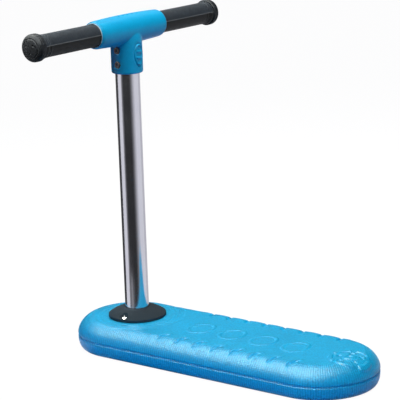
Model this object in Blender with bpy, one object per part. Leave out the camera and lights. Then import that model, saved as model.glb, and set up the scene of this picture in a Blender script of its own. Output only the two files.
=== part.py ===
"""Indoor trick scooter: a soft foam deck, one pole that spins in a hub, a T clamp, a crossbar and two grips.

Row frame: origin on the ground under the middle of the deck, +X towards the tail, +Y towards the
rider's right hand, +Z up. The rider faces -X. The pole stands on the spin axis near the nose.
"""

import math

import bmesh
import bpy

MM = 0.001
GAP = 0.3 * MM  # clearance that touching pieces keep

# Foam deck, a stadium in plan
DECK_LENGTH = 492.6 * MM
DECK_WIDTH = 162.6 * MM
DECK_TOP = 45.5 * MM
SEAM_HEIGHT = 20.7 * MM
BOTTOM_FLAT_HALF = 72.4 * MM
TOP_FLAT_HALF = 60.0 * MM
CROWN_POWER = 1.7
BELLY_POWER = 2.2
CREASE_DEPTH = 0.6 * MM
CREASE_HEIGHT = 0.9 * MM
CROWN_STEPS = 8
BELLY_STEPS = 4
END_STEPS = 24

# Stiff board inside the deck
BOARD_END_RADIUS = 55.0 * MM
BOARD_BOTTOM = 16.0 * MM
BOARD_TOP = 25.0 * MM

# Spin axis and pole
AXIS_X = -156.0 * MM
POLE_RADIUS = 17.5 * MM
POLE_WALL = 2.0 * MM
POLE_TOP = 449.7 * MM

# Hub, bolted through the board to a ring below it
HUB_IN_BOARD = 0.4 * MM  # clearances round the hub, in the board, the ring and the foam
HUB_IN_RING = 0.6 * MM
FLANGE_IN_FOAM = 0.5 * MM
HUB_IN_FOAM = 1.0 * MM
HUB_BOTTOM = 12.3 * MM
HUB_FLOOR = 16.3 * MM
HUB_TOP = 50.0 * MM
HUB_RADIUS = 23.5 * MM
HUB_BORE = 20.8 * MM
FLANGE_RADIUS = 40.0 * MM
FLANGE_TOP = 30.3 * MM
RING_BOTTOM = 11.7 * MM
RING_RADIUS = 40.0 * MM
HUB_WELL_FLOOR = 5.8 * MM
BOLT_CIRCLE = 31.5 * MM
BOLT_RADIUS = 2.9 * MM
BOLT_HOLE = 3.2 * MM
BOLT_HEAD_RADIUS = 4.9 * MM
BOLT_HEAD_HEIGHT = 5.0 * MM
BOLT_END = 0.5 * MM  # how far the bolts stop short of the ring's lower face
SOCKET_WIDTH_SHARE = 0.52  # of a cap screw's head radius
SOCKET_DEPTH_SHARE = 0.55  # of its head height
CHAMFER_SHARE = 0.12  # of its head radius
BUSH_RADIUS = 20.5 * MM
BUSH_BORE = 17.8 * MM
BUSH_FLOOR = 2.0 * MM
BUSH_FLANGE_RADIUS = 23.3 * MM
BUSH_FLANGE = 2.0 * MM
LOWER_BUSH_TOP = 30.0 * MM
UPPER_BUSH_BOTTOM = 36.0 * MM
AXLE_RADIUS = 4.0 * MM
AXLE_IN_HUB = 0.5 * MM
AXLE_IN_BUSH = 2.0 * MM
AXLE_HEAD_RADIUS = 7.0 * MM
AXLE_HEAD_HEIGHT = 4.0 * MM
AXLE_TOP = 39.0 * MM
WASHER_RADIUS = 11.0 * MM
WASHER_THICKNESS = 1.4 * MM
PLUG_HEIGHT = 25.0 * MM
PLUG_BORE_END = 2.0 * MM  # room past the axle bolt's tip

# Domed collar over the hub, held by two screws
COLLAR_RADIUS = 42.2 * MM
COLLAR_RIM = 3.6 * MM
COLLAR_TOP = 60.0 * MM
COLLAR_WALL = 2.5 * MM
COLLAR_BORE = 18.0 * MM
COLLAR_CAVITY = 27.0 * MM
COLLAR_CONE_SHARE = 0.5  # of the dome's fall that is a straight cone
COLLAR_POWER = 2.6  # of the rest
COLLAR_STEPS = 6
CAVITY_STEPS = 2
SCREW_CIRCLE = 35.2 * MM
SCREW_ANGLE = math.radians(-83.5)  # of the left screw, from +X
SCREW_WELL_RADIUS = 5.9 * MM
SCREW_WELL_FLOOR = 49.0 * MM
SCREW_HEAD_RADIUS = 4.9 * MM
SCREW_HEAD_HEIGHT = 3.0 * MM
SCREW_RADIUS = 2.0 * MM
SCREW_TIP = 33.0 * MM
PAN_POWER = 2.4
PAN_STEPS = 4
BOSS_RADIUS = 4.0 * MM
BOSS_ROOT = 2.0 * MM  # how far a boss reaches into the flange
BOSS_HOLE_END = 1.0 * MM  # room past the screw's tip

# T clamp: a stem on the pole and a barrel along Y round the crossbar
HANDLE_HEIGHT = 468.4 * MM
STEM_RADIUS = 22.7 * MM
STEM_BOTTOM = 406.4 * MM
STEM_ROUND = 1.8 * MM
STEM_SHOULDER = 450.0 * MM
STEM_CROWN = 18.0 * MM
STEM_CROWN_EXPONENT = 0.25
STEM_ROUND_STEPS = 3
STEM_CROWN_STEPS = 6
BARREL_HALF = 73.0 * MM
BARREL_MID_RADIUS = 21.3 * MM
BARREL_END_RADIUS = 19.5 * MM
BARREL_LIP_RADIUS = 17.6 * MM
BARREL_ROUND = 3.2 * MM
BARREL_STEPS = 4
BARREL_ROUND_STEPS = 3
GRIP_SOCKET_START = 63.0 * MM
CLAMP_BOLT_HEIGHTS = (440.5 * MM, 420.0 * MM)
CLAMP_WELL_RADIUS = 5.5 * MM
CLAMP_WELL_FLOOR = 19.3 * MM
CLAMP_HEAD_HEIGHT = 2.9 * MM
CLAMP_HOLE = 4.0 * MM
SLEEVE_RADIUS = 3.7 * MM
SLEEVE_START = 6.0 * MM

# Crossbar, grips and end plugs
BAR_RADIUS = 11.0 * MM
BAR_WALL = 2.0 * MM
BAR_HALF = 186.0 * MM
GRIP_RADIUS = 16.1 * MM
GRIP_NECK_RADIUS = 17.3 * MM
GRIP_NECK_LENGTH = 3.6 * MM
GRIP_NECK_SLOPE = 1.0 * MM
GRIP_END = 187.0 * MM
PLUG_HEAD_RADIUS = 19.1 * MM
PLUG_END = 202.0 * MM
PLUG_SHANK_LENGTH = 20.0 * MM
PLUG_RIM = 6.5 * MM  # from the head's back to where its dome starts
PLUG_CHAMFER = 1.2 * MM
PLUG_POWER = 2.4
PLUG_STEPS = 5

COLLAR_ROUND = 48  # facets round the collar
ROUND = 36  # round a large turned piece
MIDDLE_ROUND = 32  # round a slimmer one
BOSS_ROUND = 20  # round a screw boss
SMALL_ROUND = 16  # round a fastener
MERGE_DISTANCE = 1e-7
CIRCLE_POWER = 2.0  # the power that makes a superellipse round
SHARP_ANGLE = math.radians(35)

COLOURS = {
    "foam": ((0.012, 0.33, 0.72), 0.55, 0.0),
    "board": ((0.55, 0.40, 0.24), 0.60, 0.0),
    "hub_plastic": ((0.03, 0.03, 0.035), 0.45, 0.0),
    "steel": ((0.55, 0.55, 0.57), 0.30, 1.0),
    "bush": ((0.80, 0.80, 0.76), 0.35, 0.0),
    "collar": ((0.02, 0.02, 0.023), 0.38, 0.0),
    "pole": ((0.80, 0.81, 0.83), 0.16, 1.0),
    "clamp": ((0.0, 0.28, 0.62), 0.32, 0.0),
    "rubber": ((0.025, 0.027, 0.032), 0.60, 0.0),
}


def clear_scene():
    for old in list(bpy.data.objects):
        bpy.data.objects.remove(old, do_unlink=True)


def make_material(name):
    colour, roughness, metallic = COLOURS[name]
    material = bpy.data.materials.get(name) or bpy.data.materials.new(name)
    material.use_nodes = True
    shader = material.node_tree.nodes["Principled BSDF"]
    shader.inputs["Base Color"].default_value = (*colour, 1.0)
    shader.inputs["Roughness"].default_value = roughness
    shader.inputs["Metallic"].default_value = metallic
    return material


def make_object(name, bm, colour=None, parent=None):
    """Turns a bmesh into a linked object with outward faces and smooth round surfaces."""
    bmesh.ops.remove_doubles(bm, verts=bm.verts, dist=MERGE_DISTANCE)
    bmesh.ops.recalc_face_normals(bm, faces=bm.faces)
    mesh = bpy.data.meshes.new(name)
    bm.to_mesh(mesh)
    bm.free()
    mesh.shade_smooth()
    mesh.set_sharp_from_angle(angle=SHARP_ANGLE)
    made = bpy.data.objects.new(name, mesh)
    bpy.context.scene.collection.objects.link(made)
    made.parent = parent
    if colour:
        mesh.materials.append(make_material(colour))
    return made


def turned(name, profile, colour=None, parent=None, facets=ROUND):
    """Spins a profile of (radius, height) points about Z. A profile that misses the axis is a closed loop.

    A piece without a colour is a guide. It is turned by half a facet, so its edges miss those of
    what it cuts.
    """
    bm = bmesh.new()
    start = 0.0 if colour else math.pi / facets
    cosine, sine = math.cos(start), math.sin(start)
    points = [bm.verts.new((radius * cosine, radius * sine, height)) for radius, height in profile]
    edges = [bm.edges.new(pair) for pair in zip(points, points[1:])]
    if min(radius for radius, _ in profile) > 0.0:
        edges.append(bm.edges.new((points[-1], points[0])))
    bmesh.ops.spin(
        bm,
        geom=points + edges,
        axis=(0.0, 0.0, 1.0),
        cent=(0.0, 0.0, 0.0),
        angle=math.tau,
        steps=facets,
        use_merge=True,
    )
    return make_object(name, bm, colour, parent)


def rod(name, radius, low, high, parent=None, facets=SMALL_ROUND):
    """A plain guide cylinder about Z."""
    profile = [(0.0, high), (radius, high), (radius, low), (0.0, low)]
    return turned(name, profile, None, parent, facets)


def stadium_ring(bm, end_radius, height):
    """One closed ring of points, a constant distance from the deck's middle line."""
    centre = (DECK_LENGTH - DECK_WIDTH) / 2
    ring = []
    for side in (1, -1):
        for step in range(END_STEPS + 1):
            angle = math.pi * step / END_STEPS - math.pi / 2
            x = side * (centre + end_radius * math.cos(angle))
            y = side * end_radius * math.sin(angle)
            ring.append(bm.verts.new((x, y, height)))
    return ring


def lofted(name, levels, colour=None):
    """A solid through stadium rings given as (end radius, height), bottom to top, with flat ends."""
    bm = bmesh.new()
    rings = [stadium_ring(bm, radius, height) for radius, height in levels]
    for lower, upper in zip(rings, rings[1:]):
        for index in range(len(lower)):
            after = (index + 1) % len(lower)
            bm.faces.new((lower[index], lower[after], upper[after], upper[index]))
    bm.faces.new(list(reversed(rings[0])))
    bm.faces.new(rings[-1])
    return make_object(name, bm, colour)


def combine(target, tool, operation):
    """Adds an EXACT Boolean that cuts or joins a hidden guide solid."""
    tool.hide_render = True
    tool.display_type = "WIRE"
    modifier = target.modifiers.new(tool.name, "BOOLEAN")
    modifier.solver = "EXACT"
    modifier.operation = operation
    modifier.object = tool


def along_y(thing, side=1):
    """Lays a turned piece's +Z along +Y, or along -Y for side -1."""
    thing.rotation_euler = (-side * math.pi / 2, 0.0, 0.0)
    return thing


def move(thing, x=0.0, y=0.0, z=0.0):
    thing.location = (x, y, z)
    return thing


# --- deck -------------------------------------------------------------------------------------


def superellipse(inner, outer, low, high, power, steps):
    """Points from (outer, low) to (inner, high) on a quarter superellipse."""
    points = []
    for step in range(steps + 1):
        angle = math.pi / 2 * step / steps
        radius = inner + (outer - inner) * math.cos(angle) ** (2 / power)
        height = low + (high - low) * math.sin(angle) ** (2 / power)
        points.append((radius, height))
    return points


def board_pocket(name, low, high):
    radius = BOARD_END_RADIUS + GAP
    return lofted(name, [(radius, low), (radius, high)])


def make_lower_foam():
    half = DECK_WIDTH / 2
    seam = SEAM_HEIGHT - GAP / 2
    belly = superellipse(
        BOTTOM_FLAT_HALF, half, seam - CREASE_HEIGHT, 0.0, BELLY_POWER, BELLY_STEPS
    )
    levels = [*reversed(belly), (half - CREASE_DEPTH, seam)]
    foam = lofted("deck_lower_foam", levels, "foam")
    combine(foam, board_pocket("cut_board_lower", BOARD_BOTTOM - GAP, DECK_TOP), "DIFFERENCE")
    ring_well = rod("cut_ring_well", RING_RADIUS + GAP, RING_BOTTOM - GAP, DECK_TOP, facets=ROUND)
    combine(foam, move(ring_well, AXIS_X), "DIFFERENCE")
    well_radius = HUB_RADIUS + HUB_IN_FOAM
    hub_well = rod("cut_hub_well", well_radius, HUB_WELL_FLOOR, DECK_TOP, facets=ROUND)
    combine(foam, move(hub_well, AXIS_X), "DIFFERENCE")


def make_upper_foam():
    half = DECK_WIDTH / 2
    seam = SEAM_HEIGHT + GAP / 2
    crown = superellipse(
        TOP_FLAT_HALF, half, seam + CREASE_HEIGHT, DECK_TOP, CROWN_POWER, CROWN_STEPS
    )
    levels = [(half - CREASE_DEPTH, seam), *crown]
    foam = lofted("deck_upper_foam", levels, "foam")
    combine(foam, board_pocket("cut_board_upper", 0.0, BOARD_TOP + GAP), "DIFFERENCE")
    hole_radius = FLANGE_RADIUS + FLANGE_IN_FOAM
    hub_hole = rod("cut_hub_hole", hole_radius, 0.0, 2 * DECK_TOP, facets=ROUND)
    combine(foam, move(hub_hole, AXIS_X), "DIFFERENCE")


def make_core_board():
    levels = [(BOARD_END_RADIUS, BOARD_BOTTOM), (BOARD_END_RADIUS, BOARD_TOP)]
    board = lofted("deck_core_board", levels, "board")
    hole = rod("cut_board_hub", HUB_RADIUS + HUB_IN_BOARD, 0.0, DECK_TOP, facets=ROUND)
    combine(board, move(hole, AXIS_X), "DIFFERENCE")
    cut_bolt_holes(board, "board", 0.0, DECK_TOP)


# --- hub --------------------------------------------------------------------------------------


def bolt_places():
    """Centres of the four hub bolts, relative to the spin axis."""
    for index in range(4):
        angle = math.pi / 4 + index * math.pi / 2
        yield index + 1, BOLT_CIRCLE * math.cos(angle), BOLT_CIRCLE * math.sin(angle)


def screw_places():
    """The collar screws' names and their places, relative to the spin axis."""
    for label, angle in (("left", SCREW_ANGLE), ("right", SCREW_ANGLE + math.pi)):
        yield label, SCREW_CIRCLE * math.cos(angle), SCREW_CIRCLE * math.sin(angle)


def cut_bolt_holes(target, label, low, high):
    for index, x, y in bolt_places():
        hole = rod(f"cut_{label}_bolt_{index}", BOLT_HOLE, low, high)
        combine(target, move(hole, AXIS_X + x, y), "DIFFERENCE")


def make_hub_housing():
    flange_bottom = BOARD_TOP + GAP
    axle_hole = AXLE_RADIUS + AXLE_IN_HUB
    profile = [
        (axle_hole, HUB_BOTTOM),
        (HUB_RADIUS, HUB_BOTTOM),
        (HUB_RADIUS, flange_bottom),
        (FLANGE_RADIUS, flange_bottom),
        (FLANGE_RADIUS, FLANGE_TOP),
        (HUB_RADIUS, FLANGE_TOP),
        (HUB_RADIUS, HUB_TOP),
        (HUB_BORE, HUB_TOP),
        (HUB_BORE, HUB_FLOOR),
        (axle_hole, HUB_FLOOR),
    ]
    hub = move(turned("hub_housing", profile, "hub_plastic"), AXIS_X)
    for label, x, y in screw_places():
        root = FLANGE_TOP - BOSS_ROOT
        boss = rod(f"join_boss_{label}", BOSS_RADIUS, root, DECK_TOP, facets=BOSS_ROUND)
        combine(hub, move(boss, AXIS_X + x, y), "UNION")
    for label, x, y in screw_places():
        bottom = SCREW_TIP - BOSS_HOLE_END
        pilot = rod(f"cut_boss_{label}", SCREW_RADIUS + GAP, bottom, 2 * DECK_TOP)
        combine(hub, move(pilot, AXIS_X + x, y), "DIFFERENCE")
    cut_bolt_holes(hub, "hub", BOARD_BOTTOM, DECK_TOP)


def make_backing_ring():
    inner = HUB_RADIUS + HUB_IN_RING
    top = BOARD_BOTTOM - GAP
    profile = [(inner, RING_BOTTOM), (RING_RADIUS, RING_BOTTOM), (RING_RADIUS, top), (inner, top)]
    ring = move(turned("hub_backing_ring", profile, "steel"), AXIS_X)
    cut_bolt_holes(ring, "ring", 0.0, DECK_TOP)


def socket_head_profile(head_radius, head_height, shank_radius, shank_length):
    """A cap screw with its head's underside at height 0 and its shank pointing down."""
    socket_radius = SOCKET_WIDTH_SHARE * head_radius
    socket_depth = SOCKET_DEPTH_SHARE * head_height
    chamfer = CHAMFER_SHARE * head_radius
    return [
        (0.0, head_height - socket_depth),
        (socket_radius, head_height - socket_depth),
        (socket_radius, head_height),
        (head_radius - chamfer, head_height),
        (head_radius, head_height - chamfer),
        (head_radius, 0.0),
        (shank_radius, 0.0),
        (shank_radius, -shank_length),
        (0.0, -shank_length),
    ]


def make_hub_bolts():
    seat = FLANGE_TOP + GAP
    length = seat - RING_BOTTOM - BOLT_END
    profile = socket_head_profile(BOLT_HEAD_RADIUS, BOLT_HEAD_HEIGHT, BOLT_RADIUS, length)
    for index, x, y in bolt_places():
        bolt = turned(f"hub_bolt_{index}", profile, "steel", facets=SMALL_ROUND)
        move(bolt, AXIS_X + x, y, seat)


def make_bushings():
    floor = HUB_FLOOR + GAP
    lower = [
        (AXLE_RADIUS + AXLE_IN_BUSH, floor),
        (BUSH_RADIUS, floor),
        (BUSH_RADIUS, LOWER_BUSH_TOP),
        (BUSH_BORE, LOWER_BUSH_TOP),
        (BUSH_BORE, floor + BUSH_FLOOR),
        (AXLE_RADIUS + AXLE_IN_BUSH, floor + BUSH_FLOOR),
    ]
    move(turned("lower_bushing", lower, "bush"), AXIS_X)
    lip = HUB_TOP + GAP
    upper = [
        (BUSH_BORE, UPPER_BUSH_BOTTOM),
        (BUSH_RADIUS, UPPER_BUSH_BOTTOM),
        (BUSH_RADIUS, lip),
        (BUSH_FLANGE_RADIUS, lip),
        (BUSH_FLANGE_RADIUS, lip + BUSH_FLANGE),
        (BUSH_BORE, lip + BUSH_FLANGE),
    ]
    move(turned("upper_bushing", upper, "bush"), AXIS_X)


def dome_height(radius):
    """Height of the collar's outer surface at a distance from the spin axis."""
    low = DECK_TOP + GAP + COLLAR_RIM
    share = (radius - COLLAR_BORE) / (COLLAR_RADIUS - COLLAR_BORE)
    fall = COLLAR_CONE_SHARE * share + (1 - COLLAR_CONE_SHARE) * share**COLLAR_POWER
    return low + (COLLAR_TOP - low) * (1 - fall)


def between(low, high, steps):
    """Evenly spaced numbers from low to high, both ends included."""
    return [low + (high - low) * step / steps for step in range(steps + 1)]


def make_base_collar():
    bottom = DECK_TOP + GAP
    outer = between(COLLAR_BORE, COLLAR_RADIUS, COLLAR_STEPS)
    cavity = between(COLLAR_CAVITY, COLLAR_BORE, CAVITY_STEPS)
    outside = [(radius, dome_height(radius)) for radius in outer]
    foot = [(COLLAR_RADIUS, bottom), (COLLAR_CAVITY, bottom)]
    inside = [(radius, dome_height(radius) - COLLAR_WALL) for radius in cavity]
    profile = [*outside, *foot, *inside]
    collar = move(turned("base_collar", profile, "collar", facets=COLLAR_ROUND), AXIS_X)
    hole = SCREW_RADIUS + GAP
    stepped = [
        (0.0, 2 * COLLAR_TOP),
        (SCREW_WELL_RADIUS, 2 * COLLAR_TOP),
        (SCREW_WELL_RADIUS, SCREW_WELL_FLOOR),
        (hole, SCREW_WELL_FLOOR),
        (hole, 0.0),
        (0.0, 0.0),
    ]
    for label, x, y in screw_places():
        well = turned(f"cut_well_{label}", stepped, facets=SMALL_ROUND)
        combine(collar, move(well, AXIS_X + x, y), "DIFFERENCE")


def make_collar_screws():
    seat = SCREW_WELL_FLOOR + GAP
    dome = superellipse(0.0, SCREW_HEAD_RADIUS, 0.0, SCREW_HEAD_HEIGHT, PAN_POWER, PAN_STEPS)
    tip = SCREW_TIP - seat
    shank = [(SCREW_RADIUS, 0.0), (SCREW_RADIUS, tip), (0.0, tip)]
    profile = [(0.0, SCREW_HEAD_HEIGHT), *reversed(dome[:-1]), *shank]
    for label, x, y in screw_places():
        screw = turned(f"collar_screw_{label}", profile, "steel", facets=SMALL_ROUND)
        move(screw, AXIS_X + x, y, seat)


# --- spinning handle, all parented to an empty on the spin axis -------------------------------------


def make_spin_axis():
    axis = bpy.data.objects.new("spin_axis", None)
    axis.location = (AXIS_X, 0.0, 0.0)
    bpy.context.scene.collection.objects.link(axis)
    return axis


def pole_foot():
    """Height at which the pole and its end plug stand on the lower bush."""
    return HUB_FLOOR + GAP + BUSH_FLOOR + GAP


def make_pole(axis):
    inner = POLE_RADIUS - POLE_WALL
    foot = pole_foot()
    profile = [(inner, foot), (POLE_RADIUS, foot), (POLE_RADIUS, POLE_TOP), (inner, POLE_TOP)]
    pole = turned("pole_tube", profile, "pole", axis)
    for index, height in enumerate(CLAMP_BOLT_HEIGHTS):
        cross = rod(f"cut_pole_{index}", CLAMP_HOLE, -2 * POLE_RADIUS, 2 * POLE_RADIUS, parent=axis)
        combine(pole, along_y(move(cross, z=height)), "DIFFERENCE")


def make_end_plug(axis):
    foot = pole_foot()
    radius = POLE_RADIUS - POLE_WALL - GAP
    bore = AXLE_RADIUS + GAP
    profile = [
        (0.0, foot + PLUG_HEIGHT),
        (radius, foot + PLUG_HEIGHT),
        (radius, foot),
        (bore, foot),
        (bore, AXLE_TOP + PLUG_BORE_END),
        (0.0, AXLE_TOP + PLUG_BORE_END),
    ]
    turned("pole_end_plug", profile, "hub_plastic", axis)


def make_axle(axis):
    washer_top = HUB_BOTTOM - GAP
    washer_low = washer_top - WASHER_THICKNESS
    bore = AXLE_RADIUS + GAP
    washer = [
        (bore, washer_low),
        (WASHER_RADIUS, washer_low),
        (WASHER_RADIUS, washer_top),
        (bore, washer_top),
    ]
    turned("thrust_washer", washer, "steel", axis, facets=MIDDLE_ROUND)
    seat = washer_low - GAP
    profile = socket_head_profile(AXLE_HEAD_RADIUS, AXLE_HEAD_HEIGHT, AXLE_RADIUS, AXLE_TOP - seat)
    bolt = turned("axle_bolt", profile, "steel", axis, facets=SMALL_ROUND)
    bolt.rotation_euler = (math.pi, 0.0, 0.0)
    move(bolt, z=seat)


def stem_profile():
    """Outside of the stem, from its rounded lower edge to the crown inside the barrel."""
    points = [(0.0, STEM_BOTTOM), (STEM_RADIUS - STEM_ROUND, STEM_BOTTOM)]
    for step in range(1, STEM_ROUND_STEPS + 1):
        angle = math.pi / 2 * step / STEM_ROUND_STEPS
        radius = STEM_RADIUS - STEM_ROUND * (1 - math.sin(angle))
        points.append((radius, STEM_BOTTOM + STEM_ROUND * (1 - math.cos(angle))))
    for step in range(STEM_CROWN_STEPS):
        angle = math.pi / 2 * step / STEM_CROWN_STEPS
        radius = STEM_RADIUS * math.cos(angle) ** STEM_CROWN_EXPONENT
        points.append((radius, STEM_SHOULDER + STEM_CROWN * math.sin(angle)))
    points.append((0.0, STEM_SHOULDER + STEM_CROWN))
    return list(reversed(points))


def barrel_profile():
    """Outside of the barrel as (radius, distance along Y), swollen in the middle, rounded at its ends."""
    shoulder = BARREL_HALF - BARREL_ROUND
    half = []
    for step in range(BARREL_STEPS):
        place = shoulder * step / BARREL_STEPS
        swell = 1 - (place / shoulder) ** 2
        half.append((BARREL_END_RADIUS + (BARREL_MID_RADIUS - BARREL_END_RADIUS) * swell, place))
    rounding = (BARREL_LIP_RADIUS, BARREL_END_RADIUS, shoulder, BARREL_HALF)
    half.extend(superellipse(*rounding, CIRCLE_POWER, BARREL_ROUND_STEPS))
    half.append((0.0, BARREL_HALF))
    return [*reversed(half), *((radius, -place) for radius, place in half[1:])]


def mirrored_profile(half):
    """A cutter's profile from (radius, height) points of its upper half, outermost point first."""
    lower = [(radius, -height) for radius, height in reversed(half)]
    return [(0.0, half[0][1]), *half, *lower, (0.0, -half[0][1])]


def bar_bore_profile():
    """The crossbar's bore through the barrel, with a wider socket for each grip's inner end."""
    socket = GRIP_RADIUS + GAP
    bore = BAR_RADIUS + GAP
    ends = [(socket, 2 * BARREL_HALF), (socket, GRIP_SOCKET_START), (bore, GRIP_SOCKET_START)]
    return mirrored_profile(ends)


def cross_hole_profile():
    """A bolt's hole through the stem, with a well for the head on each side."""
    well = CLAMP_WELL_RADIUS
    ends = [(well, 2 * STEM_RADIUS), (well, CLAMP_WELL_FLOOR), (CLAMP_HOLE, CLAMP_WELL_FLOOR)]
    return mirrored_profile(ends)


def make_handle_clamp(axis):
    clamp = turned("handle_clamp", stem_profile(), "clamp", axis)
    barrel = turned("join_barrel", barrel_profile(), parent=axis)
    combine(clamp, along_y(move(barrel, z=HANDLE_HEIGHT)), "UNION")
    bore = rod("cut_stem_bore", POLE_RADIUS + GAP, 0.0, POLE_TOP + GAP, parent=axis, facets=ROUND)
    combine(clamp, bore, "DIFFERENCE")
    for index, height in enumerate(CLAMP_BOLT_HEIGHTS):
        hole = turned(f"cut_cross_{index}", cross_hole_profile(), parent=axis, facets=SMALL_ROUND)
        combine(clamp, along_y(move(hole, z=height)), "DIFFERENCE")
    bar_bore = turned("cut_bar_bore", bar_bore_profile(), parent=axis)
    combine(clamp, along_y(move(bar_bore, z=HANDLE_HEIGHT)), "DIFFERENCE")


def make_clamp_fasteners(axis):
    seat = CLAMP_WELL_FLOOR + GAP
    screw = socket_head_profile(BOLT_HEAD_RADIUS, CLAMP_HEAD_HEIGHT, BOLT_RADIUS, 2 * seat)
    sleeve = [
        (0.0, seat + CLAMP_HEAD_HEIGHT),
        (BOLT_HEAD_RADIUS, seat + CLAMP_HEAD_HEIGHT),
        (BOLT_HEAD_RADIUS, seat),
        (SLEEVE_RADIUS, seat),
        (SLEEVE_RADIUS, SLEEVE_START),
        (BOLT_HOLE, SLEEVE_START),
        (BOLT_HOLE, seat + GAP),
        (0.0, seat + GAP),
    ]
    for label, height in zip(("upper", "lower"), CLAMP_BOLT_HEIGHTS):
        bolt = turned(f"clamp_bolt_{label}", screw, "steel", axis, facets=SMALL_ROUND)
        along_y(move(bolt, y=-seat, z=height), side=-1)
        nut = turned(f"clamp_sleeve_nut_{label}", sleeve, "steel", axis, facets=SMALL_ROUND)
        along_y(move(nut, z=height))


def make_crossbar(axis):
    inner = BAR_RADIUS - BAR_WALL
    profile = [
        (inner, -BAR_HALF),
        (BAR_RADIUS, -BAR_HALF),
        (BAR_RADIUS, BAR_HALF),
        (inner, BAR_HALF),
    ]
    bar = turned("crossbar_tube", profile, "pole", axis, facets=MIDDLE_ROUND)
    along_y(move(bar, z=HANDLE_HEIGHT))


def make_grips(axis):
    inner = BAR_RADIUS + GAP
    start = GRIP_SOCKET_START + GAP
    neck = GRIP_END - GRIP_NECK_LENGTH
    profile = [
        (inner, start),
        (GRIP_RADIUS, start),
        (GRIP_RADIUS, neck - GRIP_NECK_SLOPE),
        (GRIP_NECK_RADIUS, neck),
        (GRIP_NECK_RADIUS, GRIP_END),
        (inner, GRIP_END),
    ]
    for label, side in (("left", -1), ("right", 1)):
        grip = turned(f"grip_{label}", profile, "rubber", axis)
        along_y(move(grip, z=HANDLE_HEIGHT), side)


def make_bar_end_plugs(axis):
    base = GRIP_END + GAP
    shank = BAR_RADIUS - BAR_WALL - GAP
    dome = (0.0, PLUG_HEAD_RADIUS, base + PLUG_RIM, PLUG_END)
    points = superellipse(*dome, PLUG_POWER, PLUG_STEPS)
    profile = [
        *reversed(points[:-1]),
        (PLUG_HEAD_RADIUS, base + PLUG_CHAMFER),
        (PLUG_HEAD_RADIUS - PLUG_CHAMFER, base),
        (shank, base),
        (shank, base - PLUG_SHANK_LENGTH),
        (0.0, base - PLUG_SHANK_LENGTH),
    ]
    for label, side in (("left", -1), ("right", 1)):
        plug = turned(f"bar_end_plug_{label}", [(0.0, PLUG_END), *profile], "rubber", axis)
        along_y(move(plug, z=HANDLE_HEIGHT), side)


def main():
    clear_scene()
    make_lower_foam()
    make_upper_foam()
    make_core_board()
    make_hub_housing()
    make_backing_ring()
    make_hub_bolts()
    make_bushings()
    make_base_collar()
    make_collar_screws()
    axis = make_spin_axis()
    make_pole(axis)
    make_end_plug(axis)
    make_axle(axis)
    make_handle_clamp(axis)
    make_clamp_fasteners(axis)
    make_crossbar(axis)
    make_grips(axis)
    make_bar_end_plugs(axis)
    bpy.context.view_layer.update()


main()
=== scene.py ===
"""Looks of the foam-deck trick scooter, built round its frame. Metres, +Z up, +X towards the tail."""

import math

import bmesh
import bpy
import numpy as np
from mathutils import Matrix, Vector


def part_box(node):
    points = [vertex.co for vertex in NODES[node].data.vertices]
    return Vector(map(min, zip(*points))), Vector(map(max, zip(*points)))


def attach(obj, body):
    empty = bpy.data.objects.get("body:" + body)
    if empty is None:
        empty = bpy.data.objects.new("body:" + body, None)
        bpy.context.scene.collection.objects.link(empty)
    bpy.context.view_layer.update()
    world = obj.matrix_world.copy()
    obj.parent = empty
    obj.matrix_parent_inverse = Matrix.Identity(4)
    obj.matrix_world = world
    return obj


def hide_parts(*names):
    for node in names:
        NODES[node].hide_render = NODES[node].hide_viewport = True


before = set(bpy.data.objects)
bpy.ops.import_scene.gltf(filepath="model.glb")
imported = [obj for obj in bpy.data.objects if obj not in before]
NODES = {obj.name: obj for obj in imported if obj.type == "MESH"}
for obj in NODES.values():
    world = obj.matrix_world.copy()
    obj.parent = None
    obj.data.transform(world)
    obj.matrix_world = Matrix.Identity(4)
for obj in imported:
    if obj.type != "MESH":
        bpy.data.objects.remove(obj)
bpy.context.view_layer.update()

MM = 0.001
GAP = 0.3 * MM  # clearance that touching pieces keep


def middle(node):
    low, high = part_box(node)
    return (low + high) / 2


def extent(node):
    low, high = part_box(node)
    return high - low


# Deck
UPPER_LOW, UPPER_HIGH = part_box("deck_upper_foam")
LOWER_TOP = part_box("deck_lower_foam")[1].z
DECK_HALF_WIDTH = UPPER_HIGH.y
DECK_END_CENTRE = UPPER_HIGH.x - UPPER_HIGH.y  # middle of each round end
DECK_TOP = UPPER_HIGH.z
TOP_FLAT_HALF = 60 * MM
CROWN_POWER = 1.7
BOTTOM_FLAT_HALF = 72.4 * MM
BELLY_POWER = 2.2
SEAM_ROUND = 1.9 * MM
BEAD_DEPTH = 0.5 * MM  # how far the seam bead stops short of the shell's face
BEAD_HEIGHT = 0.9 * MM
BOARD_LOW, BOARD_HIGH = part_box("deck_core_board")
POCKET_HALF_WIDTH = BOARD_HIGH.y + GAP
STRAIGHT_STEPS = 288
ARC_STEPS = 190
RING_SPACING = 1.15 * MM

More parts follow.
